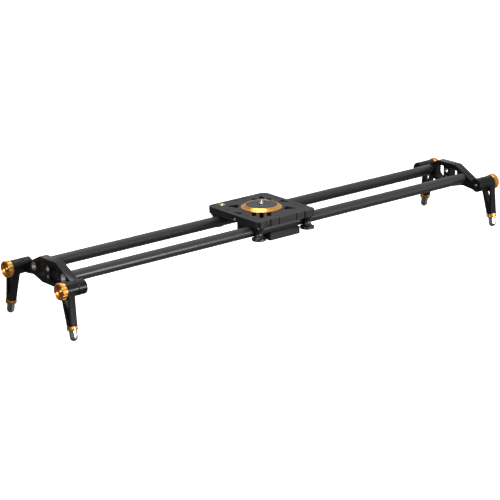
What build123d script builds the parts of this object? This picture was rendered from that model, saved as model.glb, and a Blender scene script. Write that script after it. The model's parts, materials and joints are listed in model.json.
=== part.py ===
from build123d import *
import math
import os

os.makedirs("parts", exist_ok=True)

# Camera slider: two carbon tubes between two end brackets, four splayed legs with screw feet,
# and a carriage that rolls on four grooved rollers. X runs along the tubes, Z is up, and the
# origin is on the ground at the middle of the track.

# ---------------- driving sizes, mm and degrees ----------------

# track
overall_length = 1006.0      # over the knobs at both ends
tube_od = 20.0
tube_wall = 2.0
tube_spacing = 87.0          # between the two tube axes
tube_recess = 1.5            # tube end below the bracket's outer face
plug_length = 24.0
plug_hex = 8.0               # across the flats of the plug's key socket
plug_hex_depth = 6.0

# end brackets
bracket_thickness = 17.0
bracket_top = 22.5           # above the tube axis
bracket_top_half = 24.0      # half width of the flat top
bracket_belly = 21.3         # below the tube axis
bracket_belly_half = 18.0
bracket_edge = 0.8           # chamfer round both faces
lug_radius = 13.0
lug_y = 79.5                 # leg pivot from the middle
lug_drop = 7.0               # leg pivot below the tube axis
lug_join_high = 146.8        # where the bracket's slopes run into the lug, degrees round it
lug_join_low = 236.6
lug_sink = 0.5               # they end this far inside the lug's circle
socket_wall = 4.0            # least metal under a tube
window_inner_y = 8.0
window_outer_y = 28.5
window_top = 14.0
window_bottom = 13.0
window_cut_high = (7.5, 4.0) # outer corners cut off, across and up
window_cut_low = (5.0, 5.0)
window_flare = 3.5
thread_three_eighths = 9.525
thread_quarter = 6.35
bracket_thread_z = 6.5       # both threaded holes, above and below the tube axis
clamp_screw_radius = 2.0
clamp_screw_length = 3.5

# legs
leg_splay = 10.6             # feet stand outside the pivots
leg_reach = 78.5             # pivot to the centre of the foot's dome
hub_length = 21.5
arm_thickness = 12.0
arm_end_width = 15.0
arm_end = 59.5               # pivot to the end of the arm
arm_root_half = 12.7         # half width of the arm where it leaves the hub
arm_root_drop = 2.0
slot_start = 15.5
slot_end = 48.5
slot_wide = 15.0
slot_narrow = 3.6
slot_corner = 1.3
washer_thickness = 0.5
washer_radius = 11.0
washer_clearance = 0.3
bolt_radius = 3.0
running_clearance = 0.05
notch_out = 0.4              # centres of the grip notches, outside the rim

# knobs, feet and their nuts
knob_radius = 14.5
knob_length = 10.0
knob_notches = 14
knob_notch_radius = 1.4
knob_dish_radius = 10.8
knob_dish_depth = 3.5
knob_boss_radius = 5.0
knob_bolt_inset = 1.5
foot_radius = 6.8
foot_gap = 0.3               # foot above its nut
stud_radius = 3.0
stud_engaged = 9.5
stud_end_gap = 1.0
foot_nut_radius = 9.8
foot_nut_length = 7.5
foot_nut_notches = 12
foot_nut_gap = 0.2           # nut below the arm
grip_notch_radius = 1.1      # in the rims of the nuts and wheels

# carriage plate
carriage_x = -9.5           # carriage centre along the track
plate_length = 136.0
plate_width = 147.0
plate_thickness = 12.5
plate_gap = 1.0              # plate above the tubes
plate_corner = 12.0
plate_edge = 0.6
wedge_corner = 0.7
slot_depth = 8.75
plate_groove_depth = 3.0
corner_notch = (6.0, 6.5)    # across and along the corner's diagonal
corner_notch_height = 9.0
corner_notch_inset = 3.5

# camera seat
ring_radius = 37.0
ring_top_radius = 29.6
ring_bore_radius = 27.9
ring_height = 5.5
pad_radius = 27.2
pad_proud = 0.2
camera_collar_radius = 4.6
camera_collar_gap = 0.3      # collar above the plate
camera_collar_proud = 2.5    # above the pad
camera_stud_height = 6.5     # above the collar
screw_wheel_radius = 13.0
screw_wheel_height = 6.0
screw_wheel_notches = 20
screw_wheel_gap = 0.5        # wheel below the plate
stud_chamfer = 0.6

# rollers
roller_x = 56.0              # from the carriage centre
roller_waist = 6.2
roller_gap = 0.3             # roller groove to tube
roller_rim_low = 3.713       # flange rims, below and above the groove
roller_rim_high = 0.61
roller_low_radius = 13.0
roller_high_radius = 10.0
roller_edge = 0.6
roller_bore_gap = 0.6        # round the axle between the bearings
axle_radius = 3.0
axle_end_gap = 0.3           # axle inside the roller's lower face
axle_shoulder_radius = 4.6
axle_nut_flats = 9.2
axle_nut_height = 2.4
axle_nut_recess = 3.0
bearing_radius = 6.5
bearing_width = 5.0
small_bearing_radius = 5.0
small_bearing_width = 3.0
small_bearing_sink = 0.1

# friction brake
brake_x = 15.5               # brake bar's middle from the carriage centre
brake_length = 70.0
brake_side = 3.5             # bar past the tubes' axes
brake_height = 13.7
brake_travel = 1.0
brake_margin = 0.2           # left between pad and tube at full travel
brake_edge = 0.8
brake_pad_height = 0.6
brake_pad_width = 6.0
brake_pad_inset = 3.0
brake_slot = (11.0, 3.6)     # relief slots in both end faces
brake_slot_depth = 4.0
brake_slot_inset = 9.0       # from the tube's axis to the slot's middle
brake_post_radius = 4.0
brake_screw_radius = 4.0
brake_wheel_radius = 14.0
brake_wheel_height = 7.0
brake_wheel_notches = 22
brake_wheel_gap = 0.3        # wheel below the bar
brake_screw_x = 31.0         # from the carriage centre
brake_thread = 9.0           # depth of its thread in the plate
post_seat = 2.0
brake_end_gap = 0.5          # posts and screw short of where they would foul
axle_seat = 8.0

# small pieces on the plate
ring_lip = 0.8
pad_thickness = 2.0
camera_hole_radius = 5.0
level_depth = 5.0
level_rim = 1.2
level_proud = 0.3
level_base = 1.0
screw_recess = 3.0
screw_recess_radius = 3.8
screw_head_radius = 2.9
screw_head_drop = 0.6        # head below the plate's top
screw_hex = 2.5
screw_hex_depth = 1.4
screw_shank_radius = 1.5
side_screw_radius = 2.8
side_screw_length = 8.0
side_screw_hex = 3.0
side_screw_hex_depth = 2.0

# ---------------- places worked out from them ----------------

splay = math.radians(leg_splay)
pivot_z = foot_radius + leg_reach * math.cos(splay)
axis_z = pivot_z + lug_drop
tube_y = tube_spacing / 2
knob_outer_x = overall_length / 2
hub_outer_x = knob_outer_x - knob_length - washer_thickness
hub_inner_x = hub_outer_x - hub_length
bracket_outer_x = hub_inner_x - washer_thickness
bracket_inner_x = bracket_outer_x - bracket_thickness
tube_end_x = bracket_outer_x - tube_recess
roller_y = tube_y + tube_od / 2 + roller_gap + roller_waist
plate_top = tube_od / 2 + plate_gap + plate_thickness     # above the tube axis
plate_top_z = axis_z + plate_top
plate_low_z = plate_top_z - plate_thickness
post_places = [(brake_x + x, y) for x in (-20, 20) for y in (-22, 22)]
side_screw_y = 8.0
side_screw_z = plate_low_z + 5.0
carriage_axis = Axis((carriage_x, 0, 0), (0, 0, 1))
ends = {"left": -1, "right": 1}
sides = {"front": -1, "rear": 1}


def save(piece, name):
    piece.part.label = name
    export_step(piece.part, f"parts/{name}.step")


def across(x):
    """Plane across the track at x, facing +X, with Y to the right and Z up."""
    return Plane(origin=(x, 0, 0), x_dir=(0, 1, 0), z_dir=(1, 0, 0))


def leg_plane(x, side):
    """Plane across the track at a leg's pivot, with its own Y up along the leg."""
    return Plane(origin=(x, side * lug_y, pivot_z),
                 x_dir=(0, math.cos(splay), side * math.sin(splay)), z_dir=(1, 0, 0))


def foot_plane(end, side, reach):
    """Plane square to a leg's axis, reach below the pivot, facing down the leg."""
    middle_x = end * (hub_outer_x - arm_thickness / 2)
    down = (0, side * math.sin(splay), -math.cos(splay))
    origin = (middle_x, side * (lug_y + reach * math.sin(splay)), pivot_z - reach * math.cos(splay))
    return Plane(origin=origin, x_dir=(1, 0, 0), z_dir=down)


def carriage_plane(z):
    """Level plane at height z above the tube axis, centred on the carriage."""
    return Plane(origin=(carriage_x, 0, axis_z + z), x_dir=(1, 0, 0), z_dir=(0, 0, 1))


def carriage_side_plane():
    """Upright plane through the carriage centre, with its origin at the tubes' height."""
    return Plane(origin=(carriage_x, 0, axis_z), x_dir=(1, 0, 0), z_dir=(0, -1, 0))


def notched_round(radius, notches, notch_radius, bore):
    """Round outline with notches round its rim and a bore, drawn in the open sketch."""
    Circle(radius)
    with PolarLocations(radius + notch_out, notches):
        Circle(notch_radius, mode=Mode.SUBTRACT)
    Circle(bore, mode=Mode.SUBTRACT)


# ---------------- track ----------------

def make_tube(side):
    with BuildPart() as tube:
        with BuildSketch(across(-tube_end_x)):
            with Locations((side * tube_y, axis_z)):
                Circle(tube_od / 2)
                Circle(tube_od / 2 - tube_wall, mode=Mode.SUBTRACT)
        extrude(amount=2 * tube_end_x)
    return tube


def lug_point(angle):
    radius = lug_radius - lug_sink
    turn = math.radians(angle)
    return (lug_y + radius * math.cos(turn), radius * math.sin(turn) - lug_drop)


def make_bracket(end):
    outer = across(end * bracket_outer_x)
    right_half = [(bracket_top_half, bracket_top), lug_point(lug_join_high), lug_point(lug_join_low),
                  (tube_y, -tube_od / 2 - socket_wall), (bracket_belly_half, -bracket_belly)]
    outline = [(y, axis_z + z) for y, z in right_half]
    outline += [(-y, z) for y, z in reversed(outline)]
    with BuildPart() as bracket:
        with BuildSketch(outer):
            with BuildLine():
                Polyline(*outline, close=True)
            make_face()
            with Locations((lug_y, pivot_z), (-lug_y, pivot_z)):
                Circle(lug_radius)
        extrude(amount=-end * bracket_thickness)
        faces_out = bracket.faces().filter_by(Axis.X)
        chamfer(faces_out.edges(), bracket_edge)
        # windows either side of the middle boss
        with BuildSketch(outer):
            for side in sides.values():
                with BuildLine():
                    Polyline((side * window_inner_y, axis_z - window_bottom),
                             (side * window_inner_y, axis_z + window_top),
                             (side * (window_outer_y - window_cut_high[0]), axis_z + window_top),
                             (side * window_outer_y, axis_z + window_top - window_cut_high[1]),
                             (side * window_outer_y, axis_z - window_bottom + window_cut_low[1]),
                             (side * (window_outer_y - window_cut_low[0]), axis_z - window_bottom),
                             close=True)
                make_face()
        extrude(amount=-end * bracket_thickness, mode=Mode.SUBTRACT)
        flared = bracket.faces().filter_by(Axis.X).sort_by(Axis.X)[-1 if end > 0 else 0]
        upright = flared.edges().filter_by(Axis.Z).filter_by(
            lambda e: abs(abs(e.center().Y) - window_outer_y) < 0.1)
        chamfer(upright, window_flare)
        # tube sockets, leg pivots and the two threaded holes in the boss
        with BuildSketch(outer):
            with Locations((tube_y, axis_z), (-tube_y, axis_z)):
                Circle(tube_od / 2)
            with Locations((lug_y, pivot_z), (-lug_y, pivot_z)):
                Circle(bolt_radius + running_clearance)
            with Locations((0, axis_z + bracket_thread_z)):
                Circle(thread_three_eighths / 2)
            with Locations((0, axis_z - bracket_thread_z)):
                Circle(thread_quarter / 2)
        extrude(amount=-end * bracket_thickness, mode=Mode.SUBTRACT)
        # clamp screw holes up into the tube sockets
        with BuildSketch(Plane.XY.offset(axis_z)):
            with Locations(*clamp_screw_places(end)):
                Circle(clamp_screw_radius)
        extrude(amount=-tube_od, mode=Mode.SUBTRACT)
    return bracket


def clamp_screw_places(end):
    middle_x = end * (bracket_outer_x - bracket_thickness / 2)
    return [(middle_x, tube_y), (middle_x, -tube_y)]


def make_clamp_screws(end):
    with BuildPart() as screws:
        with BuildSketch(Plane.XY.offset(axis_z - tube_od / 2)):
            with Locations(*clamp_screw_places(end)):
                Circle(clamp_screw_radius)
        extrude(amount=-clamp_screw_length)
    return screws


def make_tube_plugs(end):
    with BuildPart() as plugs:
        with BuildSketch(across(end * tube_end_x)):
            with Locations((tube_y, axis_z), (-tube_y, axis_z)):
                Circle(tube_od / 2 - tube_wall)
        extrude(amount=-end * plug_length)
        with BuildSketch(across(end * tube_end_x)):
            with Locations((tube_y, axis_z), (-tube_y, axis_z)):
                RegularPolygon(plug_hex / 2, 6, major_radius=False)
        extrude(amount=-end * plug_hex_depth, mode=Mode.SUBTRACT)
    return plugs


def make_leg_washers(end):
    with BuildPart() as washers:
        for x in (bracket_outer_x, hub_outer_x):
            with BuildSketch(across(end * x)):
                with Locations((lug_y, pivot_z), (-lug_y, pivot_z)):
                    Circle(washer_radius)
                    Circle(bolt_radius + washer_clearance, mode=Mode.SUBTRACT)
            extrude(amount=end * washer_thickness)
    return washers


for side_name, side in sides.items():
    save(make_tube(side), f"{side_name}_tube")
for end_name, end in ends.items():
    save(make_bracket(end), f"{end_name}_bracket")
    save(make_tube_plugs(end), f"{end_name}_tube_plugs")
    save(make_clamp_screws(end), f"{end_name}_clamp_screws")


# ---------------- legs, knobs and feet ----------------

def make_leg(end, side):
    outer = leg_plane(end * hub_outer_x, side)
    with BuildPart() as leg:
        with BuildSketch(outer):
            Circle(lug_radius)
        extrude(amount=-end * hub_length)
        with BuildSketch(outer):
            with BuildLine():
                Polyline((-arm_root_half, -arm_root_drop), (arm_root_half, -arm_root_drop),
                         (arm_end_width / 2, -arm_end), (-arm_end_width / 2, -arm_end), close=True)
            make_face()
        extrude(amount=-end * arm_thickness)
        # long tapered slot that leaves two struts
        with BuildSketch(outer):
            with BuildLine():
                Polyline((-slot_wide / 2, -slot_start), (slot_wide / 2, -slot_start),
                         (slot_narrow / 2, -slot_end), (-slot_narrow / 2, -slot_end), close=True)
            make_face()
            fillet(vertices(), slot_corner)
        extrude(amount=-end * arm_thickness, mode=Mode.SUBTRACT)
        with BuildSketch(outer):
            Circle(bolt_radius + running_clearance)
        extrude(amount=-end * hub_length, mode=Mode.SUBTRACT)
        with BuildSketch(foot_plane(end, side, arm_end)):
            Circle(stud_radius + running_clearance)
        extrude(amount=-stud_engaged - stud_end_gap, mode=Mode.SUBTRACT)
    return leg


def make_knob(end, side):
    inner = leg_plane(end * (knob_outer_x - knob_length), side)
    outer = leg_plane(end * knob_outer_x, side)
    with BuildPart() as knob:
        with BuildSketch(inner):
            notched_round(knob_radius, knob_notches, knob_notch_radius, bolt_radius)
        extrude(amount=end * knob_length)
        # dished outer face round a middle boss
        with BuildSketch(outer):
            Circle(knob_dish_radius)
            Circle(knob_boss_radius, mode=Mode.SUBTRACT)
        extrude(amount=-end * knob_dish_depth, mode=Mode.SUBTRACT)
    return knob


def make_knob_bolt(end, side):
    head_x = knob_outer_x - knob_bolt_inset
    with BuildPart() as bolt:
        with BuildSketch(leg_plane(end * head_x, side)):
            Circle(bolt_radius)
        extrude(amount=-end * (head_x - bracket_inner_x))
    return bolt


def make_foot(end, side):
    dome_start = leg_reach
    body_start = arm_end + foot_nut_length + foot_gap
    with BuildPart() as foot:
        with BuildSketch(foot_plane(end, side, body_start)):
            Circle(foot_radius)
        extrude(amount=dome_start - body_start)
        with BuildSketch(foot_plane(end, side, arm_end)):
            Circle(stud_radius)
        extrude(amount=body_start - arm_end)
        with BuildSketch(foot_plane(end, side, arm_end)):
            Circle(stud_radius)
        extrude(amount=-stud_engaged)
        with Locations(foot_plane(end, side, dome_start)):
            Sphere(foot_radius)
    return foot


def make_foot_nut(end, side):
    with BuildPart() as nut:
        with BuildSketch(foot_plane(end, side, arm_end + foot_nut_gap)):
            notched_round(foot_nut_radius, foot_nut_notches, grip_notch_radius,
                          stud_radius + running_clearance)
        extrude(amount=foot_nut_length - foot_nut_gap)
    return nut


for end_name, end in ends.items():
    save(make_leg_washers(end), f"{end_name}_leg_washers")
    for side_name, side in sides.items():
        corner = f"{side_name}_{end_name}"
        save(make_leg(end, side), f"leg_{corner}")
        save(make_knob(end, side), f"knob_{corner}")
        save(make_knob_bolt(end, side), f"knob_bolt_{corner}")
        save(make_foot(end, side), f"foot_{corner}")
        save(make_foot_nut(end, side), f"foot_nut_{corner}")


# ---------------- carriage plate ----------------

# radial wedge openings: angle, then the radii of the base and of the tip, and the base width
wedges = [(132, 42, 65, 21), (-48, 42, 65, 21)]
# wedges along the short sides: base middle, tip and base width, repeated half a turn round
side_wedge = ((-51.5, -8.5), (-59.8, 9.6), 12.0)
slot_bearing = 50.5          # direction of the two slot groups
slot_width = 7.5
slot_offset = 13.3
slot_reach_middle = 69.0
slot_reach_outer = 56.0
screw_places = [(56, 26), (56, -26), (-56, 26), (-56, -26), (10, 63.5), (-10, 63.5)]
level_place = (-43.0, 59.0)
level_radius = 5.6
face_grooves = [(20.0, 1.8), (39.5, 3.0)]     # places along the long faces, and widths
ring_floor = ring_radius - 4


def wedge_corners(base, tip, width):
    along = Vector(tip[0] - base[0], tip[1] - base[1]).normalized()
    half = Vector(-along.Y, along.X) * (width / 2)
    return [(base[0] + half.X, base[1] + half.Y), (base[0] - half.X, base[1] - half.Y), tip]


def polar(radius, angle):
    return (radius * math.cos(math.radians(angle)), radius * math.sin(math.radians(angle)))


roller_places = [(x, y) for x in (-roller_x, roller_x) for y in (-roller_y, roller_y)]

triangles = [wedge_corners(polar(base, angle), polar(tip, angle), width)
             for angle, base, tip, width in wedges]
triangles.append(wedge_corners(*side_wedge))
triangles.append([(-x, -y) for x, y in wedge_corners(*side_wedge)])

with BuildPart() as carriage_plate:
    with BuildSketch(carriage_plane(plate_top - plate_thickness)):
        RectangleRounded(plate_length, plate_width, plate_corner)
    extrude(amount=plate_thickness)
    chamfer(carriage_plate.faces().sort_by(Axis.Z)[-1].edges(), plate_edge)
    # wedge openings
    with BuildSketch(carriage_plane(plate_top)):
        for corners in triangles:
            with BuildLine():
                Polyline(*corners, close=True)
            make_face()
        fillet(vertices(), wedge_corner)
    extrude(amount=-plate_thickness, mode=Mode.SUBTRACT)
    # three parallel slots at two opposite corners
    with BuildSketch(carriage_plane(plate_top)):
        for bearing in (slot_bearing, slot_bearing + 180):
            for offset, reach in ((0, slot_reach_middle), (slot_offset, slot_reach_outer),
                                  (-slot_offset, slot_reach_outer)):
                length = reach - ring_floor
                middle = Vector(*polar(ring_floor + length / 2, bearing))
                shift = Vector(*polar(offset, bearing + 90))
                with Locations(Location((middle.X + shift.X, middle.Y + shift.Y, 0), (0, 0, bearing))):
                    Rectangle(length, slot_width)
    extrude(amount=-slot_depth, mode=Mode.SUBTRACT)
    # countersunk screw holes, the level's pocket and the camera screw's bore
    with BuildSketch(carriage_plane(plate_top)):
        with Locations(*screw_places):
            Circle(screw_recess_radius)
    extrude(amount=-screw_recess, mode=Mode.SUBTRACT)
    with BuildSketch(carriage_plane(plate_top)):
        with Locations(level_place):
            Circle(level_radius)
    extrude(amount=-level_depth, mode=Mode.SUBTRACT)
    with BuildSketch(carriage_plane(plate_top)):
        Circle(thread_quarter / 2 + running_clearance)
        with Locations(*screw_places):
            Circle(screw_shank_radius)
    extrude(amount=-plate_thickness, mode=Mode.SUBTRACT)
    # grooves down both long faces and a notch at each corner
    with BuildSketch(carriage_plane(plate_top)):
        for x, width in face_grooves:
            with Locations(*[(sx * x, sy * plate_width / 2) for sx in (-1, 1) for sy in (-1, 1)]):
                Rectangle(width, 2 * plate_groove_depth)
    extrude(amount=-plate_thickness, mode=Mode.SUBTRACT)
    with BuildSketch(carriage_plane(plate_top - plate_thickness)):
        for sx in (-1, 1):
            for sy in (-1, 1):
                corner_x = sx * (plate_length / 2 - corner_notch_inset)
                corner_y = sy * (plate_width / 2 - corner_notch_inset)
                with Locations(Location((corner_x, corner_y, 0), (0, 0, 45 * sx * sy))):
                    Rectangle(*corner_notch)
    extrude(amount=corner_notch_height, mode=Mode.SUBTRACT)
    # axle seats, guide post seats, the brake screw's thread and the side screw holes
    with BuildSketch(carriage_plane(plate_top - plate_thickness)):
        with Locations(*roller_places):
            Circle(axle_radius)
    extrude(amount=axle_seat, mode=Mode.SUBTRACT)
    with BuildSketch(carriage_plane(plate_top - plate_thickness)):
        with Locations(*post_places):
            Circle(brake_post_radius)
    extrude(amount=post_seat, mode=Mode.SUBTRACT)
    with BuildSketch(carriage_plane(plate_top - plate_thickness)):
        with Locations((brake_screw_x, 0)):
            Circle(brake_screw_radius + running_clearance)
    extrude(amount=brake_thread, mode=Mode.SUBTRACT)
    for end in ends.values():
        with BuildSketch(across(carriage_x + end * plate_length / 2)):
            with Locations((end * side_screw_y, side_screw_z)):
                Circle(side_screw_radius)
        extrude(amount=-end * side_screw_length, mode=Mode.SUBTRACT)
save(carriage_plate, "carriage_plate")


# ---------------- pieces on the plate ----------------

pad_top = plate_top + ring_height + pad_proud

# orange ring, a cone that stands on the plate
with BuildPart() as seat_ring:
    with BuildSketch(carriage_side_plane()):
        with BuildLine():
            Polyline((ring_bore_radius, plate_top), (ring_radius, plate_top),
                     (ring_radius, plate_top + ring_lip),
                     (ring_top_radius, plate_top + ring_height),
                     (ring_bore_radius, plate_top + ring_height), close=True)
        make_face()
    revolve(axis=carriage_axis)
save(seat_ring, "seat_ring")

with BuildPart() as seat_disc:
    with BuildSketch(carriage_plane(plate_top)):
        Circle(ring_bore_radius)
        Circle(camera_hole_radius, mode=Mode.SUBTRACT)
    extrude(amount=ring_height + pad_proud - pad_thickness)
save(seat_disc, "seat_disc")

with BuildPart() as seat_pad:
    with BuildSketch(carriage_plane(pad_top - pad_thickness)):
        Circle(pad_radius)
        Circle(camera_hole_radius, mode=Mode.SUBTRACT)
    extrude(amount=pad_thickness)
save(seat_pad, "seat_pad")

# camera screw: stud, collar up through the pad and shank down to its wheel
collar_low = plate_top + camera_collar_gap
collar_high = pad_top + camera_collar_proud
wheel_high = plate_top - plate_thickness - screw_wheel_gap
with BuildPart() as camera_screw:
    with BuildSketch(carriage_plane(wheel_high - screw_wheel_height)):
        Circle(thread_quarter / 2)
    extrude(amount=collar_high + camera_stud_height - wheel_high + screw_wheel_height)
    with BuildSketch(carriage_plane(collar_low)):
        Circle(camera_collar_radius)
    extrude(amount=collar_high - collar_low)
    chamfer(camera_screw.edges().sort_by(Axis.Z)[-1], stud_chamfer)
save(camera_screw, "camera_screw")

with BuildPart() as screw_wheel:
    with BuildSketch(carriage_plane(wheel_high)):
        notched_round(screw_wheel_radius, screw_wheel_notches, grip_notch_radius, thread_quarter / 2)
    extrude(amount=-screw_wheel_height)
save(screw_wheel, "screw_wheel")

with BuildPart() as level_housing:
    with BuildSketch(carriage_plane(plate_top - level_depth)):
        with Locations(level_place):
            Circle(level_radius)
    extrude(amount=level_depth + level_proud)
    with BuildSketch(carriage_plane(plate_top + level_proud)):
        with Locations(level_place):
            Circle(level_radius - level_rim)
    extrude(amount=level_base - level_depth - level_proud, mode=Mode.SUBTRACT)
save(level_housing, "level_housing")

with BuildPart() as level_vial:
    with BuildSketch(carriage_plane(plate_top)):
        with Locations(level_place):
            Circle(level_radius - level_rim)
    extrude(amount=level_base - level_depth)
save(level_vial, "level_vial")

with BuildPart() as plate_screws:
    with BuildSketch(carriage_plane(plate_top - screw_recess)):
        with Locations(*screw_places):
            Circle(screw_head_radius)
    extrude(amount=screw_recess - screw_head_drop)
    with BuildSketch(carriage_plane(plate_top - screw_head_drop)):
        with Locations(*screw_places):
            RegularPolygon(screw_hex / 2, 6, major_radius=False)
    extrude(amount=-screw_hex_depth, mode=Mode.SUBTRACT)
    with BuildSketch(carriage_plane(plate_top - screw_recess)):
        with Locations(*screw_places):
            Circle(screw_shank_radius)
    extrude(amount=screw_recess - plate_thickness)
save(plate_screws, "plate_screws")

with BuildPart() as side_screws:
    for end in ends.values():
        face_x = carriage_x + end * (plate_length / 2)
        with BuildSketch(across(face_x)):
            with Locations((end * side_screw_y, side_screw_z)):
                Circle(side_screw_radius)
        extrude(amount=-end * side_screw_length)
        with BuildSketch(across(face_x)):
            with Locations((end * side_screw_y, side_screw_z)):
                RegularPolygon(side_screw_hex / 2, 6, major_radius=False)
        extrude(amount=-end * side_screw_hex_depth, mode=Mode.SUBTRACT)
save(side_screws, "side_screws")


# ---------------- rollers and their axles ----------------

groove_radius = tube_od / 2 + roller_gap
groove_centre = roller_waist + groove_radius
flange_low = -math.sqrt(groove_radius**2 - (groove_centre - roller_low_radius)**2)
flange_high = math.sqrt(groove_radius**2 - (groove_centre - roller_high_radius)**2)
roller_low = roller_rim_low - flange_low
roller_high = flange_high + roller_rim_high
low_bearing_z = -roller_low + axle_nut_recess
high_bearing_z = roller_high - small_bearing_width - small_bearing_sink


def roller_plane(place):
    """Upright plane through a roller's axis, with its origin at the tubes' height."""
    x, y = place
    return Plane(origin=(carriage_x + x, y, axis_z), x_dir=(1, 0, 0), z_dir=(0, -1, 0))


def roller_axis(place):
    x, y = place
    return Axis((carriage_x + x, y, axis_z), (0, 0, 1))


def make_roller(place):
    with BuildPart() as roller:
        with BuildSketch(roller_plane(place)):
            with BuildLine():
                Polyline((roller_high_radius, flange_high), (roller_high_radius, roller_high),
                         (small_bearing_radius, roller_high), (small_bearing_radius, high_bearing_z),
                         (axle_radius + roller_bore_gap, high_bearing_z),
                         (axle_radius + roller_bore_gap, low_bearing_z + bearing_width),
                         (bearing_radius, low_bearing_z + bearing_width),
                         (bearing_radius, -roller_low),
                         (roller_low_radius - roller_edge, -roller_low),
                         (roller_low_radius, -roller_low + roller_edge),
                         (roller_low_radius, flange_low))
                ThreePointArc((roller_low_radius, flange_low), (roller_waist, 0),
                              (roller_high_radius, flange_high))
            make_face()
        revolve(axis=roller_axis(place))
    return roller


def make_bearings(place):
    with BuildPart() as bearings:
        for radius, low, width in ((bearing_radius, low_bearing_z, bearing_width),
                                   (small_bearing_radius, high_bearing_z, small_bearing_width)):
            with BuildSketch(roller_plane(place)):
                with Locations((0, 0)):
                    with BuildLine():
                        Polyline((axle_radius + running_clearance, low), (radius, low),
                                 (radius, low + width),
                                 (axle_radius + running_clearance, low + width), close=True)
                    make_face()
            revolve(axis=roller_axis(place))
    return bearings


for end_name, end in ends.items():
    for side_name, side in sides.items():
        place = (end * roller_x, side * roller_y)
        save(make_roller(place), f"roller_{side_name}_{end_name}")
        save(make_bearings(place), f"roller_bearings_{side_name}_{end_name}")

axle_low = axle_end_gap - roller_low
plate_low = plate_top - plate_thickness
with BuildPart() as roller_axles:
    with BuildSketch(carriage_plane(axle_low)):
        with Locations(*roller_places):
            Circle(axle_radius)
    extrude(amount=plate_low + axle_seat - axle_low)
    with BuildSketch(carriage_plane(plate_low)):
        with Locations(*roller_places):
            Circle(axle_shoulder_radius)
    extrude(amount=roller_high + axle_end_gap - plate_low)
save(roller_axles, "roller_axles")

with BuildPart() as axle_nuts:
    with BuildSketch(carriage_plane(axle_low)):
        with Locations(*roller_places):
            RegularPolygon(axle_nut_flats / 2, 6, major_radius=False)
            Circle(axle_radius, mode=Mode.SUBTRACT)
    extrude(amount=axle_nut_height)
save(axle_nuts, "axle_nuts")


# ---------------- friction brake ----------------

bar_top = -(tube_od / 2 + brake_margin + brake_travel + brake_pad_height)

with BuildPart() as brake_bar:
    with BuildSketch(carriage_plane(bar_top)):
        with Locations((brake_x, 0)):
            Rectangle(brake_length, tube_spacing + 2 * brake_side)
    extrude(amount=-brake_height)
    chamfer(brake_bar.edges(), brake_edge)
    with BuildSketch(carriage_plane(bar_top)):
        with Locations(*post_places):
            Circle(brake_post_radius + running_clearance)
        with Locations((brake_screw_x, 0)):
            Circle(brake_screw_radius + running_clearance)
    extrude(amount=-brake_height, mode=Mode.SUBTRACT)
    # relief slots in both end faces, under the tubes
    for end in ends.values():
        with BuildSketch(across(carriage_x + brake_x + end * brake_length / 2)):
            with Locations((tube_y - brake_slot_inset, axis_z + bar_top - brake_height / 2),
                           (brake_slot_inset - tube_y, axis_z + bar_top - brake_height / 2)):
                SlotOverall(*brake_slot)
        extrude(amount=-end * brake_slot_depth, mode=Mode.SUBTRACT)
save(brake_bar, "brake_bar")

with BuildPart() as brake_pads:
    with BuildSketch(carriage_plane(bar_top)):
        with Locations((brake_x, tube_y), (brake_x, -tube_y)):
            Rectangle(brake_length - 2 * brake_pad_inset, brake_pad_width)
    extrude(amount=brake_pad_height)
save(brake_pads, "brake_pads")

post_low = bar_top - brake_height + brake_travel + brake_end_gap
with BuildPart() as brake_posts:
    with BuildSketch(carriage_plane(post_low)):
        with Locations(*post_places):
            Circle(brake_post_radius)
    extrude(amount=plate_low + post_seat - post_low)
save(brake_posts, "brake_posts")

brake_wheel_top = bar_top - brake_height - brake_wheel_gap
brake_screw_low = brake_wheel_top - brake_wheel_height
with BuildPart() as brake_screw:
    with BuildSketch(carriage_plane(brake_screw_low)):
        with Locations((brake_screw_x, 0)):
            Circle(brake_screw_radius)
    extrude(amount=plate_low + brake_thread - brake_travel - brake_end_gap - brake_screw_low)
save(brake_screw, "brake_screw")

with BuildPart() as brake_wheel:
    with BuildSketch(carriage_plane(brake_wheel_top)):
        with Locations((brake_screw_x, 0)):
            notched_round(brake_wheel_radius, brake_wheel_notches, grip_notch_radius,
                          brake_screw_radius)
    extrude(amount=-brake_wheel_height)
save(brake_wheel, "brake_wheel")
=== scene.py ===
import json
import math

import bmesh
import bpy
from mathutils import Matrix, Vector


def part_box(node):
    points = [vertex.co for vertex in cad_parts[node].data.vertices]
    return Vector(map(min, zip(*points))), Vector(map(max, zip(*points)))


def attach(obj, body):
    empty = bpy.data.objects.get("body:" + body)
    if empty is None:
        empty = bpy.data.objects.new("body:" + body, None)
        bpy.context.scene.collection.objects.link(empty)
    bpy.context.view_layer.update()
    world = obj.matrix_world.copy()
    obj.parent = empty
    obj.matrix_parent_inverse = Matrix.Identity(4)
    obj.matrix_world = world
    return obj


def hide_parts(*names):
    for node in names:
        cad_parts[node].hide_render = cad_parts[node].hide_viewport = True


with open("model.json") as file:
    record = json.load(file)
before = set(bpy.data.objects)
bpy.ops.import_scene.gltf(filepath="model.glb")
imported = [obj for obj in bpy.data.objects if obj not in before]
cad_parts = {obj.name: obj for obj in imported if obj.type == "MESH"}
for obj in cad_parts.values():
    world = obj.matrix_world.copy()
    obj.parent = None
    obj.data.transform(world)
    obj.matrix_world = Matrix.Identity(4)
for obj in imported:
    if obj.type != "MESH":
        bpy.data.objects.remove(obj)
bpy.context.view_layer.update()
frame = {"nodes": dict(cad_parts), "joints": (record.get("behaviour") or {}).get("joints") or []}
joints = {joint["name"]: joint for joint in frame["joints"]}
mm = 0.001
ends = ("left", "right")
corners = ("front_left", "rear_left", "front_right", "rear_right")
print("frame loaded with", len(frame["nodes"]), "nodes")


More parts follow.
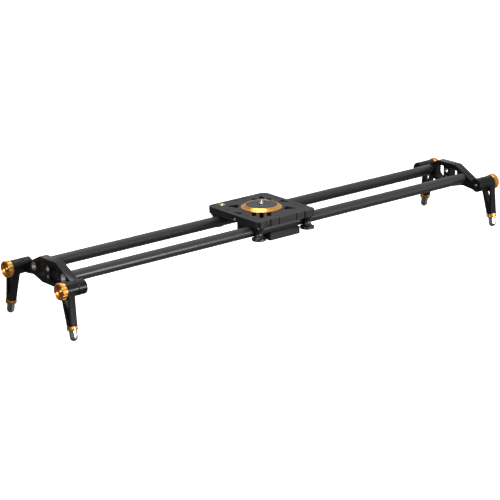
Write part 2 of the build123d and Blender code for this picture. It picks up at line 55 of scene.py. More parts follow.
# the camera looks along the track from its left end, a little from above
shot = {
    "place": (-2.2387, -2.7041, 1.1399),
    "yaw": 50.835,
    "pitch": 17.53,
    "roll": -0.716,
    "lens": 146.85,
    "shift": (-0.001, 0.001),
}


def addCamera():
    yaw, pitch, roll = (math.radians(shot[key]) for key in ("yaw", "pitch", "roll"))
    ahead = Vector((math.cos(yaw) * math.cos(pitch), math.sin(yaw) * math.cos(pitch), -math.sin(pitch)))
    right = Vector((math.sin(yaw), -math.cos(yaw), 0))
    up = right.cross(ahead)
    right, up = (right * math.cos(roll) + up * math.sin(roll), up * math.cos(roll) - right * math.sin(roll))
    camera = bpy.data.objects.new("shotCamera", bpy.data.cameras.new("shotCamera"))
    camera.data.lens = shot["lens"]
    camera.data.sensor_width = 36
    camera.data.shift_x = shot["shift"][0]
    camera.data.shift_y = shot["shift"][1]
    camera.data.clip_end = 60
    facing = Matrix((right, up, -ahead)).transposed().to_4x4()
    camera.matrix_world = Matrix.Translation(shot["place"]) @ facing
    bpy.context.scene.collection.objects.link(camera)
    bpy.context.scene.camera = camera


addCamera()
print("camera placed")


def linear(code):
    parts = [int(code[i:i + 2], 16) / 255 for i in (1, 3, 5)]
    return tuple(p / 12.92 if p <= 0.04045 else ((p + 0.055) / 1.055) ** 2.4 for p in parts) + (1.0,)


def addNode(tree, kind, settings=None, links=None):
    node = tree.nodes.new("ShaderNode" + kind)
    for key, value in (settings or {}).items():
        if isinstance(key, str) and hasattr(node, key):
            setattr(node, key, value)
        else:
            node.inputs[key].default_value = value
    for key, socket in (links or {}).items():
        tree.links.new(socket, node.inputs[key])
    return node


def newMaterial(name, settings):
    material = bpy.data.materials.new(name)
    material.use_nodes = True
    tree = material.node_tree
    shader = tree.nodes["Principled BSDF"]
    for key, value in settings.items():
        shader.inputs[key].default_value = value
    return material, tree, shader


def blend(tree, factor, low, high):
    # colour between two hex values
    mix = addNode(tree, "Mix", {"data_type": "RGBA"}, {0: factor})
    mix.inputs[6].default_value = linear(low)
    mix.inputs[7].default_value = linear(high)
    return mix.outputs[2]


def spread(tree, factor, low, high):
    # a number between two values as the factor goes from 0 to 1
    return addNode(tree, "MapRange", {3: low, 4: high}, {0: factor}).outputs[0]


def anodised(name, base, light, metallic, rough, grainMm, settings=None):
    # blasted aluminium, anodised and dyed: an even satin skin with a very fine grain
    # the real grain is nearer a tenth of a millimetre, and is drawn coarser so that it shows
    extra = {"Metallic": metallic}
    extra.update(settings or {})
    material, tree, shader = newMaterial(name, extra)
    place = addNode(tree, "TexCoord").outputs["Object"]
    grain = addNode(tree, "TexNoise", {"Scale": 1 / (grainMm * mm), "Detail": 3, "Roughness": 0.6},
                    {"Vector": place})
    cloud = addNode(tree, "TexNoise", {"Scale": 1 / (28 * mm), "Detail": 2}, {"Vector": place})
    tree.links.new(blend(tree, cloud.outputs[0], base, light), shader.inputs["Base Color"])
    tree.links.new(spread(tree, grain.outputs[0], rough - 0.05, rough + 0.05), shader.inputs["Roughness"])
    bump = addNode(tree, "Bump", {"Strength": 0.12, "Distance": 0.02 * mm}, {"Height": grain.outputs[0]})
    tree.links.new(bump.outputs[0], shader.inputs["Normal"])
    return material


def turned(name, base, light, settings, rough, pitchMm, depth=0.25):
    # cut on a lathe: faint rings that follow the tool, one for each feed of it
    material, tree, shader = newMaterial(name, settings)
    along = addNode(tree, "SeparateXYZ", None, {0: addNode(tree, "UVMap").outputs[0]}).outputs[1]
    turns = addNode(tree, "Math", {"operation": "MULTIPLY", 1: 1 / (pitchMm * mm)}, {0: along}).outputs[0]
    rings = addNode(tree, "Math", {"operation": "PINGPONG", 1: 0.5}, {0: turns}).outputs[0]
    place = addNode(tree, "TexCoord").outputs["Object"]
    cloud = addNode(tree, "TexNoise", {"Scale": 1 / (9 * mm), "Detail": 3}, {"Vector": place})
    tree.links.new(blend(tree, cloud.outputs[0], base, light), shader.inputs["Base Color"])
    tree.links.new(spread(tree, cloud.outputs[0], rough - 0.04, rough + 0.05), shader.inputs["Roughness"])
    bump = addNode(tree, "Bump", {"Strength": depth, "Distance": 0.03 * mm}, {"Height": rings})
    tree.links.new(bump.outputs[0], shader.inputs["Normal"])
    return material


# woven carbon cloth in epoxy: two-by-two twill, each tow catches the light along its own way; the weave is
# real, and the tows that lie over are painted lighter as a painted sheen
carbonCloth = {"towMm": 0.9, "dark": "#121213", "light": "#272729", "rough": 0.36}


def makeCarbonCloth():
    material, tree, shader = newMaterial(
        "carbonTwillCloth", {"Coat Weight": 0.35, "Coat Roughness": 0.22, "IOR": 1.5})
    uv = addNode(tree, "SeparateXYZ", None, {0: addNode(tree, "UVMap").outputs[0]})
    tow = 1 / (carbonCloth["towMm"] * mm)
    cells, strands = [], []
    for side in (0, 1):
        scaled = addNode(tree, "Math", {"operation": "MULTIPLY", 1: tow}, {0: uv.outputs[side]}).outputs[0]
        cells.append(addNode(tree, "Math", {"operation": "FLOOR"}, {0: scaled}).outputs[0])
        strands.append(addNode(tree, "Math", {"operation": "PINGPONG", 1: 0.5}, {0: scaled}).outputs[0])
    total = addNode(tree, "Math", {"operation": "ADD"}, {0: cells[0], 1: cells[1]}).outputs[0]
    step = addNode(tree, "Math", {"operation": "FLOORED_MODULO", 1: 4}, {0: total}).outputs[0]
    over = addNode(tree, "Math", {"operation": "LESS_THAN", 1: 2}, {0: step}).outputs[0]
    height = addNode(tree, "Mix", {"data_type": "FLOAT"}, {0: over, 2: strands[0], 3: strands[1]}).outputs[0]
    place = addNode(tree, "TexCoord").outputs["Object"]
    cloud = addNode(tree, "TexNoise", {"Scale": 1 / (14 * mm), "Detail": 4}, {"Vector": place}).outputs[0]
    # painted sheen: the tows that lie over get the lighter colour
    towSheen = addNode(tree, "Math", {"operation": "MULTIPLY_ADD", 1: 0.55, 2: 0.12}, {0: over}).outputs[0]
    mixed = addNode(tree, "Math", {"operation": "MULTIPLY_ADD", 1: 0.5}, {0: cloud, 2: towSheen}).outputs[0]
    tree.links.new(blend(tree, mixed, carbonCloth["dark"], carbonCloth["light"]), shader.inputs["Base Color"])
    tree.links.new(spread(tree, over, carbonCloth["rough"] - 0.08, carbonCloth["rough"] + 0.1),
                   shader.inputs["Roughness"])
    bump = addNode(tree, "Bump", {"Strength": 0.35, "Distance": 0.08 * mm}, {"Height": height})
    tree.links.new(bump.outputs[0], shader.inputs["Normal"])
    return material


carbonTwill = makeCarbonCloth()
# deep black with soft, narrow highlights
blackAnodised = anodised("blackAnodisedAluminium", "#111112", "#18181A", 0.45, 0.28, 0.5)
# a flatter, greyer black
plateAnodised = anodised("greyBlackAnodisedAluminium", "#131315", "#1A1A1C", 0.15, 0.5, 0.6)
# bright metal seen through an orange dye
goldAnodised = turned("goldAnodisedAluminium", "#E89F45", "#F2B663", {"Metallic": 1.0}, 0.28, 0.25)
# pale bare metal, fresh from the lathe
brightAluminium = turned("turnedBrightAluminium", "#D3D4D6", "#E6E7E9", {"Metallic": 1.0}, 0.34, 0.3)
# clean grey fasteners
zincSteel = turned("zincPlatedSteel", "#B9BBBE", "#D2D3D6", {"Metallic": 1.0}, 0.2, 0.3, 0.1)
# steel painted darker, a painted shade of the recesses it is sunk in
recessShadeSteel = turned("recessShadeSteel", "#4A4B4D", "#5C5D60", {"Metallic": 1.0}, 0.36, 0.3, 0.1)
# thin oxide that still looks like metal
blackSteel = turned("blackOxideSteel", "#0E0E0F", "#1A1A1B", {"Metallic": 0.6}, 0.35, 0.3, 0.1)
# fine grey bearing rings
groundSteel = turned("groundBearingSteel", "#8F9194", "#A6A8AB", {"Metallic": 1.0}, 0.18, 0.2, 0.15)
# mirror finish, dark and light by what it faces
chrome = turned("polishedChromePlate", "#DADCDF", "#E9EAEC", {"Metallic": 1.0}, 0.08, 0.6, 0.03)
# smooth black with a soft sheen
glossNylon = turned("turnedBlackNylon", "#141416", "#1C1C1E", {"IOR": 1.53}, 0.3, 0.35)
# dull moulded black
mattNylon = turned("mouldedBlackNylon", "#121213", "#1A1A1B", {"IOR": 1.53}, 0.55, 0.6, 0.05)
# polished yellow rim
brass = turned("polishedBrass", "#D9B05A", "#E8C983", {"Metallic": 1.0}, 0.18, 0.2, 0.1)


# nitrile rubber sheet, matt grey with a fine moulded stipple
rubberSheet = {"stippleMm": 0.7, "dark": "#2C2D31", "light": "#3B3C41"}


def makeRubber():
    material, tree, shader = newMaterial("stippledRubberSheet", {"IOR": 1.52})
    place = addNode(tree, "TexCoord").outputs["Object"]
    cells = addNode(tree, "TexVoronoi", {"Scale": 1 / (rubberSheet["stippleMm"] * mm)}, {"Vector": place})
    cloud = addNode(tree, "TexNoise", {"Scale": 1 / (12 * mm), "Detail": 3}, {"Vector": place}).outputs[0]
    tree.links.new(blend(tree, cloud, rubberSheet["dark"], rubberSheet["light"]), shader.inputs["Base Color"])
    tree.links.new(spread(tree, cloud, 0.55, 0.72), shader.inputs["Roughness"])
    bump = addNode(tree, "Bump", {"Strength": 0.4, "Distance": 0.08 * mm}, {"Height": cells.outputs[0]})
    tree.links.new(bump.outputs[0], shader.inputs["Normal"])
    return material


rubber = makeRubber()
levelLiquid, _, _ = newMaterial("levelLiquid", {
    "Base Color": linear("#DDE9A0"), "Roughness": 0.05, "IOR": 1.4, "Transmission Weight": 0.35})
bubbleGlass, _, _ = newMaterial("bubbleUnderGlass", {"Base Color": linear("#F4F8DC"), "Roughness": 0.04})
print("materials made")


def pieceFrom(bm, name, material, body, nodes, smoothAngle=35):
    mesh = bpy.data.meshes.new(name)
    bm.to_mesh(mesh)
    bm.free()
    mesh.materials.append(material)
    mesh.shade_smooth()
    mesh.set_sharp_from_angle(angle=math.radians(smoothAngle))
    piece = bpy.data.objects.new(name, mesh)
    bpy.context.scene.collection.objects.link(piece)
    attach(piece, body)
    if nodes:
        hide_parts(*nodes)
    return piece


def machined(node, name, material, body, edgeMm, segments=2):
    # a milled piece: the frame's own shape with its edges broken
    bm = bmesh.new()
    bm.from_mesh(frame["nodes"][node].data)
    bmesh.ops.remove_doubles(bm, verts=bm.verts, dist=0.002 * mm)
    bmesh.ops.dissolve_limit(bm, angle_limit=math.radians(0.6), verts=bm.verts, edges=bm.edges,
                             delimit={"NORMAL"})
    piece = pieceFrom(bm, name, material, body, [node])
    edge = piece.modifiers.new("brokenEdges", "BEVEL")
    edge.width = edgeMm * mm
    edge.segments = segments
    edge.limit_method = "ANGLE"
    edge.angle_limit = math.radians(32)
    edge.use_clamp_overlap = False
    edge.harden_normals = True
    return piece


def uprightFrame(origin, axis):
    # a frame whose own Z runs along the axis
    turn = Vector((0, 0, 1)).rotation_difference(Vector(axis)).to_matrix().to_4x4()
    return Matrix.Translation(origin) @ turn


def lathe(profile, steps, place, notch=None):
    # spins an open or closed run of (radius, height) points in mm round the axis
    bm = bmesh.new()
    length = bm.verts.layers.float.new("along")
    verts, run = [], 0.0
    for index, (radius, height) in enumerate(profile):
        if index:
            before = profile[index - 1]
            run += math.dist((radius, height), before) * mm
        vert = bm.verts.new((radius * mm, 0, height * mm))
        vert[length] = run
        verts.append(vert)
    edges = [bm.edges.new(pair) for pair in zip(verts, verts[1:])]
    if profile[0][0] > 0 and profile[-1][0] > 0 and profile[0] != profile[-1]:
        edges.append(bm.edges.new((verts[-1], verts[0])))
    bmesh.ops.spin(bm, geom=verts + edges, cent=(0, 0, 0), axis=(0, 0, 1), angle=2 * math.pi,
                   steps=steps, use_merge=True)
    bmesh.ops.remove_doubles(bm, verts=bm.verts, dist=0.001 * mm)
    bmesh.ops.recalc_face_normals(bm, faces=bm.faces)
    if notch:
        cutNotches(bm, **notch)
    writeTurnedUv(bm, length)
    bmesh.ops.transform(bm, matrix=place, verts=bm.verts)
    return bm


def writeTurnedUv(bm, length):
    # u runs round the axis and v along the profile, both in metres
    uv = bm.loops.layers.uv.new("turned")
    for face in bm.faces:
        middle = face.calc_center_median()
        facing = math.atan2(middle.y, middle.x)
        for loop in face.loops:
            point = loop.vert.co
            radius = math.hypot(point.x, point.y)
            angle = math.atan2(point.y, point.x) if radius > 1e-7 else facing
            swing = (angle - facing + math.pi) % (2 * math.pi) - math.pi
            loop[uv].uv = ((facing + swing) * max(radius, 0.001), loop.vert[length])


def cutNotches(bm, count, depthMm, fromMm, width):
    # presses rounded grip notches into everything outside fromMm
    for vert in bm.verts:
        radius = math.hypot(vert.co.x, vert.co.y)
        if radius < fromMm * mm:
            continue
        turn = math.atan2(vert.co.y, vert.co.x) * count / (2 * math.pi)
        across = abs(turn - round(turn)) / (width / 2)
        if across < 1:
            pressed = radius - depthMm * mm * math.sqrt(1 - across ** 2)
            vert.co.x *= pressed / radius
            vert.co.y *= pressed / radius


def threadRun(radius, depth, pitch, low, high):
    # the outline of a screw thread, as points for the lathe
    count = int((high - low) / pitch)
    points = []
    for turn in range(count):
        start = low + turn * pitch
        points += [(radius - depth, start), (radius - depth * 0.1, start + pitch * 0.42),
                   (radius - depth * 0.1, start + pitch * 0.58)]
    points.append((radius - depth, low + count * pitch))
    return points


tube = {"wallMm": 2.0, "edgeMm": 0.3, "sides": 96}


def makeTube(node):
    low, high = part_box(node)
    radius = (high.z - low.z) / 2 / mm
    span = (high.x - low.x) / mm
    edge = tube["edgeMm"]
    inner = radius - tube["wallMm"]
    stations = [span * i / 12 for i in range(1, 12)]
    profile = [(inner, 0.0), (radius - edge, 0.0), (radius, edge)]
    profile += [(radius, height) for height in stations]
    profile += [(radius, span - edge), (radius - edge, span), (inner, span), (inner, 0.0)]
    place = uprightFrame((low.x, (low.y + high.y) / 2, (low.z + high.z) / 2), (1, 0, 0))
    bm = lathe(profile, tube["sides"], place)
    return pieceFrom(bm, node + "_cloth", carbonTwill, "root", [node])


for node in ("front_tube", "rear_tube"):
    makeTube(node)
for end in ends:
    machined(end + "_bracket", end + "_end_plate", blackAnodised, "root", 0.35)
    machined(end + "_tube_plugs", end + "_plugs", brightAluminium, "root", 0.4)
    frame["nodes"][end + "_clamp_screws"].data.materials[0] = blackSteel
    frame["nodes"][end + "_leg_washers"].data.materials[0] = mattNylon
print("track made")


# thread of the end sockets, cut through the black skin so that the bare metal shows
socketThread = {"three_eighths": (9.525, 1.5875, 6.5), "quarter": (6.35, 1.27, -6.5), "endGapMm": 0.6,
                "gapMm": 0.05, "depthMm": 0.55}


def makeSocketThread(end):
    low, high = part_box(end + "_bracket")
    axisZ = sum(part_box("front_tube")[i].z for i in (0, 1)) / 2
    for name in ("three_eighths", "quarter"):
        across, pitch, height = socketThread[name]
        span = (high.x - low.x) / mm - 2 * socketThread["endGapMm"]
        wall = across / 2 - socketThread["gapMm"]
        run = threadRun(wall, socketThread["depthMm"], pitch / 2, 0.0, span)
        ridges = [(wall, 0.0)] + run + [(wall, run[-1][1])]
        place = uprightFrame((low.x + socketThread["endGapMm"] * mm, 0, axisZ + height * mm), (1, 0, 0))
        bm = lathe(ridges, 48, place)
        pieceFrom(bm, f"{end}_{name}_thread", brightAluminium, "root", [])


for end in ends:
    makeSocketThread(end)


for corner in corners:
    machined("leg_" + corner, "leg_body_" + corner, blackAnodised, "leg_" + corner, 0.45)

knob = {"notches": 14, "notchMm": 1.1, "notchWidth": 0.42, "edgeMm": 0.8, "dishMm": 10.8, "dishDepthMm": 3.5,
        "bossMm": 5.0, "boreMm": 3.0, "stepsEach": 14}


def makeKnob(corner):
    node = "knob_" + corner
    low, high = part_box(node)
    depth = (high.x - low.x) / mm
    radius = (high.y - low.y) / 2 / mm
    outward = 1 if low.x > 0 else -1
    edge = knob["edgeMm"]
    dish, boss, bore = knob["dishMm"], knob["bossMm"], knob["boreMm"]
    floor = depth - knob["dishDepthMm"]
    profile = [(bore, 0.0), (radius - edge - 0.6, 0.0), (radius - 0.6, edge), (radius - 0.6, 1.6),
               (radius, 2.2), (radius, depth - edge - 0.4), (radius - edge, depth - 0.1),
               (radius - edge - 0.5, depth), (dish + 0.4, depth), (dish, depth - 0.4),
               (dish - 0.4, floor + 0.7), (dish - 1.1, floor), (boss + 1.0, floor), (boss + 0.3, floor + 0.6),
               (boss, depth - 0.9), (boss - 0.5, depth - 0.4), (bore + 0.5, depth - 0.4), (bore, depth - 0.9),
               (bore, 0.0)]
    base = low.x if outward > 0 else high.x
    place = uprightFrame((base, (low.y + high.y) / 2, (low.z + high.z) / 2), (outward, 0, 0))
    notch = {"count": knob["notches"], "depthMm": knob["notchMm"], "fromMm": radius - 0.5,
             "width": knob["notchWidth"]}
    bm = lathe(profile, knob["notches"] * knob["stepsEach"], place, notch)
    return pieceFrom(bm, "grip_knob_" + corner, goldAnodised, node, [node])


knobBolt = {"edgeMm": 0.4, "threadMm": 1.0, "threadDepthMm": 0.5, "threadLengthMm": 14.0}


def makeKnobBolt(corner):
    node = "knob_bolt_" + corner
    low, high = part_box(node)
    length = (high.x - low.x) / mm
    radius = (high.z - low.z) / 2 / mm
    outward = 1 if low.x > 0 else -1
    base = low.x if outward > 0 else high.x
    place = uprightFrame((base, (low.y + high.y) / 2, (low.z + high.z) / 2), (outward, 0, 0))
    run = threadRun(radius, knobBolt["threadDepthMm"], knobBolt["threadMm"], 0.5, knobBolt["threadLengthMm"])
    edge = knobBolt["edgeMm"]
    profile = [(0.0, 0.0), (radius - 0.8, 0.0)] + run
    profile += [(radius, run[-1][1] + 0.6), (radius, length - edge), (radius - edge, length),
                (1.5, length), (1.3, length - 1.2), (0.0, length - 1.2)]
    bm = lathe(profile, 40, place)
    return pieceFrom(bm, "bolt_" + corner, zincSteel, "knob_" + corner, [node])


foot = {"edgeMm": 0.4, "threadMm": 1.0, "threadDepthMm": 0.5, "domeSteps": 14, "grooveMm": 0.35,
        "studMm": 3.0, "engagedMm": 9.5, "gapMm": 0.3, "nutHalfMm": 3.75}


def footAxis(corner):
    joint = joints["foot_extend_" + corner]
    return Vector(joint["axis"]).normalized()


def makeFoot(corner):
    # chromed foot: threaded stud into the leg, a short body and a round end
    node = "foot_" + corner
    low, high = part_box(node)
    down = footAxis(corner)
    radius = (high.x - low.x) / 2 / mm
    middleX = (low.x + high.x) / 2
    side = 1 if down.y > 0 else -1
    domeY = high.y - radius * mm if side > 0 else low.y + radius * mm
    dome = Vector((middleX, domeY, low.z + radius * mm))
    nut = Vector(joints["foot_nut_turn_" + corner]["pos_m"])
    nutMiddle = (nut - dome).length / mm
    bodyTop = nutMiddle - foot["nutHalfMm"] - foot["gapMm"]
    studTop = nutMiddle + foot["nutHalfMm"] + foot["engagedMm"]
    run = threadRun(foot["studMm"], foot["threadDepthMm"], foot["threadMm"], bodyTop, studTop - 0.6)
    groove = foot["grooveMm"]
    profile = [(0.0, -radius)]
    for step in range(1, foot["domeSteps"]):
        turn = math.radians(90 * step / foot["domeSteps"])
        profile.append((radius * math.sin(turn), -radius * math.cos(turn)))
    profile += [(radius, 0.0), (radius, bodyTop - 2.2), (radius - groove, bodyTop - 2.0),
                (radius - groove, bodyTop - 1.6), (radius, bodyTop - 1.4), (radius, bodyTop - foot["edgeMm"]),
                (radius - foot["edgeMm"], bodyTop)]
    profile += run + [(0.0, run[-1][1])]
    place = uprightFrame(dome, -down)
    bm = lathe(profile, 56, place)
    return pieceFrom(bm, "screw_foot_" + corner, chrome, node, [node])


footNut = {"notches": 12, "notchMm": 0.8, "notchWidth": 0.42, "edgeMm": 0.5, "radiusMm": 9.8, "boreMm": 3.05,
           "heightMm": 7.3, "stepsEach": 12}


def makeFootNut(corner):
    node = "foot_nut_" + corner
    middle = Vector(joints["foot_nut_turn_" + corner]["pos_m"])
    down = footAxis(corner)
    radius, bore, height, edge = (footNut[key] for key in ("radiusMm", "boreMm", "heightMm", "edgeMm"))
    start = -height / 2 + 0.1
    profile = [(bore, start), (radius - edge, start), (radius, start + edge),
               (radius, start + height - 1.5), (radius - 1.6, start + height), (bore + 1.2, start + height),
               (bore, start + height - 0.7), (bore, start)]
    place = uprightFrame(middle, down)
    notch = {"count": footNut["notches"], "depthMm": footNut["notchMm"], "fromMm": radius - 0.3,
             "width": footNut["notchWidth"]}
    bm = lathe(profile, footNut["notches"] * footNut["stepsEach"], place, notch)
    return pieceFrom(bm, "lock_nut_" + corner, goldAnodised, node, [node])


for corner in corners:
    makeKnob(corner)
    makeKnobBolt(corner)
    makeFoot(corner)
    makeFootNut(corner)
print("legs, knobs and feet made")


machined("carriage_plate", "top_plate", plateAnodised, "carriage", 0.35)
machined("brake_bar", "clamp_bar", plateAnodised, "brake_bar", 0.35)
# the cap screws take the steel painted darker as painted shade of their recesses
machined("plate_screws", "cap_screws", recessShadeSteel, "carriage", 0.2)
machined("side_screws", "set_screws", zincSteel, "carriage", 0.25)
machined("axle_nuts", "lock_nuts", zincSteel, "carriage", 0.3)

seatRing = {"lipMm": 0.8, "edgeMm": 0.35, "stepMm": 1.1, "sides": 160}


def carriageFrame(z):
    low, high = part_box("seat_ring")
    return Matrix.Translation(((low.x + high.x) / 2, (low.y + high.y) / 2, z))


def makeSeatRing():
    low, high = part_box("seat_ring")
    outer = (high.x - low.x) / 2 / mm
    height = (high.z - low.z) / mm
    inner = (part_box("seat_disc")[1].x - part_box("seat_disc")[0].x) / 2 / mm
    lip, edge, step = seatRing["lipMm"], seatRing["edgeMm"], seatRing["stepMm"]
    crown = inner + 1.7
    profile = [(inner, 0.0), (outer - edge, 0.0), (outer, edge), (outer, lip), (outer - edge, lip + edge),
               (outer - step, lip + edge + 0.15), (crown + 0.8, height - 0.75), (crown + 0.15, height - 0.15),
               (crown - 0.3, height), (inner + 0.3, height), (inner, height - 0.3), (inner, 0.0)]
    bm = lathe(profile, seatRing["sides"], carriageFrame(low.z))
    return pieceFrom(bm, "turned_seat_ring", goldAnodised, "carriage", ["seat_ring"])


seatPad = {"holeMm": 5.0}


def makeSeatPad():
    low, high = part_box("seat_pad")
    outer = (high.x - low.x) / 2 / mm
    height = (high.z - low.z) / mm
    hole = seatPad["holeMm"]
    profile = [(hole, 0.0), (outer, 0.0), (outer, height - 0.5), (outer - 0.15, height - 0.15),
               (outer - 0.5, height), (hole + 0.5, height), (hole + 0.1, height - 0.2), (hole, height - 0.6),
               (hole, 0.0)]
    bm = lathe(profile, 120, carriageFrame(low.z))
    return pieceFrom(bm, "rubber_seat_pad", rubber, "carriage", ["seat_pad"])


cameraScrew = {"radiusMm": 3.175, "threadMm": 1.27, "threadDepthMm": 0.62, "collarMm": 4.6,
               "collarGapMm": 0.3, "studMm": 6.5, "sides": 48}


def makeCameraScrew():
    low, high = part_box("camera_screw")
    length = (high.z - low.z) / mm
    radius, depth, pitch = (cameraScrew[key] for key in ("radiusMm", "threadDepthMm", "threadMm"))
    collar = cameraScrew["collarMm"]
    collarLow = (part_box("carriage_plate")[1].z - low.z) / mm + cameraScrew["collarGapMm"]
    collarHigh = length - cameraScrew["studMm"]
    profile = [(0.0, 0.0), (radius - 0.4, 0.0), (radius, 0.4), (radius, collarLow), (collar - 0.4, collarLow),
               (collar, collarLow + 0.4), (collar, collarHigh - 0.5), (collar - 0.5, collarHigh),
               (radius - depth, collarHigh)]
    profile += threadRun(radius, depth, pitch, collarHigh + 0.5, length - 0.7)
    profile += [(radius - depth - 0.2, length - 0.3), (radius - depth - 0.8, length), (0.0, length)]
    bm = lathe(profile, cameraScrew["sides"], carriageFrame(low.z))
    return pieceFrom(bm, "threaded_camera_screw", zincSteel, "camera_screw", ["camera_screw"])


gripWheel = {"notchMm": 0.7, "notchWidth": 0.45, "edgeMm": 0.6, "stepsEach": 10, "hubMm": 3.5, "rimMm": 2.6,
             "faceMm": 0.6, "slopeMm": (0.5, 0.6)}


def makeGripWheel(node, name, body, notches, bore):
    low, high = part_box(node)
    radius = (high.x - low.x) / 2 / mm
    height = (high.z - low.z) / mm
    edge = gripWheel["edgeMm"]
    hub, rim, face = bore + gripWheel["hubMm"], radius - gripWheel["rimMm"], gripWheel["faceMm"]
    inner, outer = gripWheel["slopeMm"]      # widths of the slopes either side of the sunk face
    profile = [(bore, 0.0), (hub, 0.0), (hub + inner, face), (rim - outer, face), (rim, 0.0),
               (radius - edge, 0.0), (radius, edge), (radius, height - edge), (radius - edge, height),
               (bore, height), (bore, 0.0)]
    place = Matrix.Translation(((low.x + high.x) / 2, (low.y + high.y) / 2, low.z))
    notch = {"count": notches, "depthMm": gripWheel["notchMm"], "fromMm": radius - 0.2,
             "width": gripWheel["notchWidth"]}
    bm = lathe(profile, notches * gripWheel["stepsEach"], place, notch)
    return pieceFrom(bm, name, blackAnodised, body, [node])


roller = {"waistMm": 6.2, "grooveMm": 10.3, "highMm": 10.0, "lowMm": 13.0, "edgeMm": 0.6, "grooveSteps": 18,
          "recessMm": 6.5, "smallRecessMm": 5.0, "boreMm": 3.6, "topMm": 8.6, "bottomMm": 13.4,
          "seatMm": 8.0, "smallSeatMm": 3.1}


def makeRoller(corner):
    node = "roller_" + corner
    low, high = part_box(node)
    waist, groove, edge = (roller[key] for key in ("waistMm", "grooveMm", "edgeMm"))
    top, bottom = roller["topMm"], roller["bottomMm"]
    bigRadius, smallRadius = roller["lowMm"], roller["highMm"]
    centre = waist + groove
    startTurn = math.asin(-math.sqrt(groove ** 2 - (centre - bigRadius) ** 2) / groove)
    stopTurn = math.asin(math.sqrt(groove ** 2 - (centre - smallRadius) ** 2) / groove)
    arc = []
    for step in range(roller["grooveSteps"] + 1):
        turn = startTurn + (stopTurn - startTurn) * step / roller["grooveSteps"]
        arc.append((centre - groove * math.cos(turn), groove * math.sin(turn)))
    arc[0] = (bigRadius - 0.25, arc[0][1] + 0.3)
    arc[-1] = (smallRadius - 0.25, arc[-1][1] - 0.3)
    seat = roller["seatMm"] - bottom
    profile = [(roller["boreMm"], seat), (roller["recessMm"], seat), (roller["recessMm"], -bottom + 0.4),
               (roller["recessMm"] + 0.4, -bottom), (bigRadius - edge, -bottom),
               (bigRadius - 0.15, -bottom + 0.2), (bigRadius, -bottom + edge), (bigRadius, arc[0][1] - 0.5)]
    profile += arc
    profile += [(smallRadius, arc[-1][1] + 0.5), (smallRadius, top - edge), (smallRadius - edge, top),
                (roller["smallRecessMm"], top), (roller["smallRecessMm"], top - roller["smallSeatMm"]),
                (roller["boreMm"], top - roller["smallSeatMm"]), (roller["boreMm"], seat)]
    place = Matrix.Translation(((low.x + high.x) / 2, (low.y + high.y) / 2, low.z + bottom * mm))
    bm = lathe(profile, 96, place)
    return pieceFrom(bm, "grooved_roller_" + corner, glossNylon, node, [node])


bearing = {"innerMm": 3.05, "ringMm": 1.0, "shieldMm": 0.35, "largeMm": (6.5, 5.0), "smallMm": (5.0, 3.0)}


def makeBearings(corner):
    # two shielded ball bearings: inner ring, sunk shield and outer ring
    node = "roller_bearings_" + corner
    low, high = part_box(node)
    place = Matrix.Translation(((low.x + high.x) / 2, (low.y + high.y) / 2, 0))
    inner, ring, sunk = (bearing[key] for key in ("innerMm", "ringMm", "shieldMm"))
    whole = None
    large, small = bearing["largeMm"], bearing["smallMm"]      # outer radius and width
    for outer, start, width in ((large[0], low.z / mm, large[1]), (small[0], high.z / mm - small[1], small[1])):
        rim = outer - ring * 0.7
        hub = inner + ring * 0.7
        stop = start + width
        profile = [(inner, start), (hub, start), (hub + 0.1, start + sunk), (rim - 0.1, start + sunk),
                   (rim, start), (outer, start), (outer, stop), (rim, stop), (rim - 0.1, stop - sunk),
                   (hub + 0.1, stop - sunk), (hub, stop), (inner, stop), (inner, start)]
        bm = lathe(profile, 56, place)
        if whole is None:
            whole = bm
        else:
            part = bpy.data.meshes.new("part")
            bm.to_mesh(part)
            bm.free()
            whole.from_mesh(part)
    return pieceFrom(whole, "shielded_bearings_" + corner, groundSteel, "roller_" + corner,
                     [node])


makeSeatRing()
makeSeatPad()
makeCameraScrew()
makeGripWheel("screw_wheel", "camera_screw_wheel", "camera_screw", 20, cameraScrew["radiusMm"])
makeGripWheel("brake_wheel", "clamp_wheel", "brake_wheel", 22, 4.0)
for corner in corners:
    makeRoller(corner)
    makeBearings(corner)
frame["nodes"]["seat_disc"].data.materials[0] = blackAnodised
frame["nodes"]["brake_pads"].data.materials[0] = rubber
for node in ("roller_axles", "brake_posts", "brake_screw"):
    frame["nodes"][node].data.materials[0] = zincSteel


# round level: brass bezel, lens of liquid with its bubble and centring ring
level = {"rimMm": 1.2, "radiusMm": 5.6, "baseMm": 1.0, "lensMm": 5.0, "bubbleMm": 1.6, "bubbleRiseMm": 0.2,
         "ringMm": 2.2, "lineMm": 0.3}


def makeLevel():
    low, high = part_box("level_housing")
    place = Matrix.Translation(((low.x + high.x) / 2, (low.y + high.y) / 2, low.z))
    height = (high.z - low.z) / mm
    outer, base, top = level["radiusMm"], level["baseMm"], level["lensMm"]
    inner = outer - level["rimMm"]
    profile = [(0.0, 0.0), (outer - 0.3, 0.0), (outer, 0.3), (outer, height - 0.4), (outer - 0.4, height),
               (inner + 0.3, height), (inner, height - 0.3), (inner, base), (0.0, base)]
    pieceFrom(lathe(profile, 72, place), "level_bezel", brass, "carriage", ["level_housing"])
    lens = [(0.0, base), (inner, base), (inner, top - 0.2), (inner * 0.8, top - 0.1),
            (inner * 0.6, top), (0.0, top)]
    pieceFrom(lathe(lens, 64, place), "level_lens", levelLiquid, "carriage", ["level_vial"])
    bubble, rise = level["bubbleMm"], level["bubbleRiseMm"]
    dome = [(0.0, top - 0.05), (bubble, top - 0.05), (bubble * 0.9, top + rise * 0.5),
            (bubble * 0.5, top + rise * 0.9), (0.0, top + rise)]
    pieceFrom(lathe(dome, 40, place), "level_bubble", bubbleGlass, "carriage", [])
    ring, line = level["ringMm"], level["lineMm"]
    band = [(ring, top - 0.05), (ring + line, top - 0.05), (ring + line, top + 0.05), (ring, top + 0.05),
            (ring, top - 0.05)]
    pieceFrom(lathe(band, 64, place), "level_centre_ring", mattNylon, "carriage", [])


makeLevel()
print("carriage made")


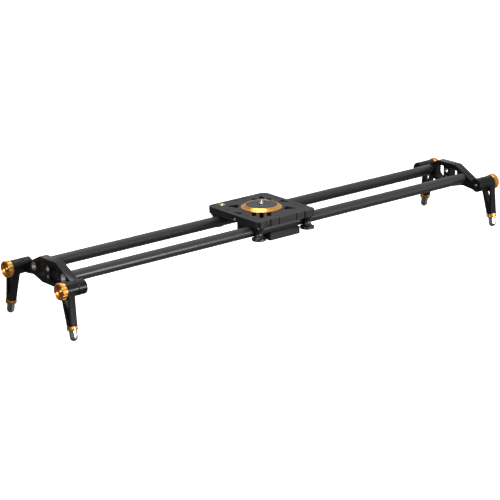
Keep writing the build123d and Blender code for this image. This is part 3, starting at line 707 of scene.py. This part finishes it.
studio = {"floorMetres": 40.0, "floorColour": "#FBFBFB", "topPower": 40, "frontPower": 50, "leftPower": 42,
          "rightGlow": 0.62, "leftGlow": 0.16, "underGlow": 0.3}


def addFloor():
    bm = bmesh.new()
    bmesh.ops.create_grid(bm, x_segments=1, y_segments=1, size=studio["floorMetres"] / 2)
    mesh = bpy.data.meshes.new("floor")
    bm.to_mesh(mesh)
    bm.free()
    floor = bpy.data.objects.new("floor", mesh)
    bpy.context.scene.collection.objects.link(floor)
    material, tree, shader = newMaterial("paperSweep", {
        "Base Color": linear(studio["floorColour"]), "Roughness": 0.9, "Specular IOR Level": 0.0,
        "Emission Color": linear("#FFFFFF"), "Emission Strength": 0.9})
    mesh.materials.append(material)
    floor.visible_glossy = False
    floor.visible_diffuse = False


def addSoftbox(name, place, target, size, power):
    light = bpy.data.lights.new(name, "AREA")
    light.shape = "RECTANGLE"
    light.size, light.size_y = size
    light.energy = power
    box = bpy.data.objects.new(name, light)
    aim = Vector(target) - Vector(place)
    box.matrix_world = Matrix.Translation(place) @ aim.to_track_quat("-Z", "Y").to_matrix().to_4x4()
    bpy.context.scene.collection.objects.link(box)
    return box


def addWorld():
    # white studio wall at the track's right end, unlit room at its left
    world = bpy.data.worlds.new("studio")
    world.use_nodes = True
    tree = world.node_tree
    towards = addNode(tree, "SeparateXYZ", None, {0: addNode(tree, "TexCoord").outputs["Generated"]})
    glow = addNode(tree, "MapRange", {"interpolation_type": "SMOOTHSTEP", 1: -0.3, 2: 0.35,
                                      3: studio["leftGlow"], 4: studio["rightGlow"]}, {0: towards.outputs[0]})
    below = addNode(tree, "MapRange", {"interpolation_type": "SMOOTHSTEP", 1: -0.55, 2: -0.1,
                                       3: studio["underGlow"], 4: 1.0}, {0: towards.outputs[2]})
    strength = addNode(tree, "Math", {"operation": "MULTIPLY"}, {0: glow.outputs[0], 1: below.outputs[0]})
    # seen straight on, the studio is the same white as the floor
    seen = addNode(tree, "LightPath").outputs["Is Camera Ray"]
    shown = addNode(tree, "Mix", {"data_type": "FLOAT", 3: 1.0}, {0: seen, 2: strength.outputs[0]})
    background = tree.nodes["Background"]
    background.inputs[0].default_value = linear("#FFFFFF")
    tree.links.new(shown.outputs[0], background.inputs[1])
    bpy.context.scene.world = world


addFloor()
addSoftbox("topBox", (-0.2, 0.2, 2.2), (0, 0, 0), (1.6, 1.2), studio["topPower"])
addSoftbox("frontBox", (0.4, -2.4, 0.15), (0, 0, 0.1), (1.9, 0.5), studio["frontPower"])
addSoftbox("leftBox", (-2.6, -0.9, 1.1), (-0.5, 0, 0.1), (0.8, 1.1), studio["leftPower"])
addWorld()
bpy.context.scene.view_settings.view_transform = "Standard"
print("floor and lights placed")
